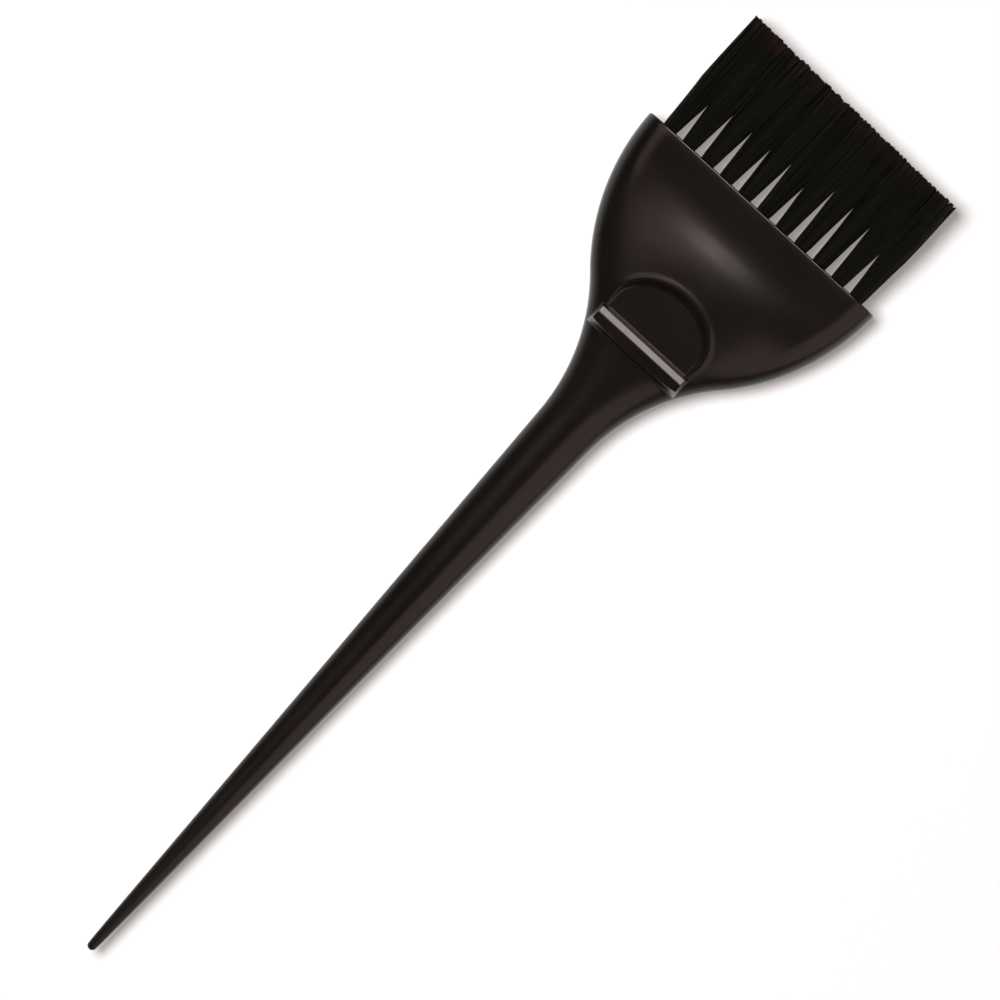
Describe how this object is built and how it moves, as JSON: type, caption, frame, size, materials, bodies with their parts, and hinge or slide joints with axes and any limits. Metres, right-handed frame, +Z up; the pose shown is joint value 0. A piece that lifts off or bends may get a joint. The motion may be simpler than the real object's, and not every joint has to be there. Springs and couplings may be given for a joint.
{
  "type": "tint brush",
  "caption": "Hair tint brush with a pin-tail handle, thumb rests and a wide flared head holding tufts of bristle folded round anchor wires.",
  "frame": {"origin": "middle of the brush's length and width, on the surface that it lies on", "axes": "+X along the brush from the tail to the bristle tips, +Y across the head, +Z up through its thickness"},
  "size_m": [0.216, 0.0574, 0.014],
  "materials": {
    "body_plastic": "black moulded polypropylene, fine satin grain, thinly polished where the hand rubs it",
    "bristle": "black nylon filament, soft sheen, cut ends a little redder and duller",
    "anchor_wire": "drawn flat wire, sheared ends"
  },
  "bodies": {
    "root": {"brush_body": "body_plastic", "tuft_upper_01": "bristle", "tuft_upper_02": "bristle", "tuft_upper_03": "bristle", "tuft_upper_04": "bristle", "tuft_upper_05": "bristle", "tuft_upper_06": "bristle", "tuft_upper_07": "bristle", "tuft_upper_08": "bristle", "tuft_upper_09": "bristle", "tuft_upper_10": "bristle", "tuft_upper_11": "bristle", "tuft_lower_01": "bristle", "tuft_lower_02": "bristle", "tuft_lower_03": "bristle", "tuft_lower_04": "bristle", "tuft_lower_05": "bristle", "tuft_lower_06": "bristle", "tuft_lower_07": "bristle", "tuft_lower_08": "bristle", "tuft_lower_09": "bristle", "tuft_lower_10": "bristle", "tuft_lower_11": "bristle", "anchor_upper_01": "anchor_wire", "anchor_upper_02": "anchor_wire", "anchor_upper_03": "anchor_wire", "anchor_upper_04": "anchor_wire", "anchor_upper_05": "anchor_wire", "anchor_upper_06": "anchor_wire", "anchor_upper_07": "anchor_wire", "anchor_upper_08": "anchor_wire", "anchor_upper_09": "anchor_wire", "anchor_upper_10": "anchor_wire", "anchor_upper_11": "anchor_wire", "anchor_lower_01": "anchor_wire", "anchor_lower_02": "anchor_wire", "anchor_lower_03": "anchor_wire", "anchor_lower_04": "anchor_wire", "anchor_lower_05": "anchor_wire", "anchor_lower_06": "anchor_wire", "anchor_lower_07": "anchor_wire", "anchor_lower_08": "anchor_wire", "anchor_lower_09": "anchor_wire", "anchor_lower_10": "anchor_wire", "anchor_lower_11": "anchor_wire"}
  },
  "joints": []
}
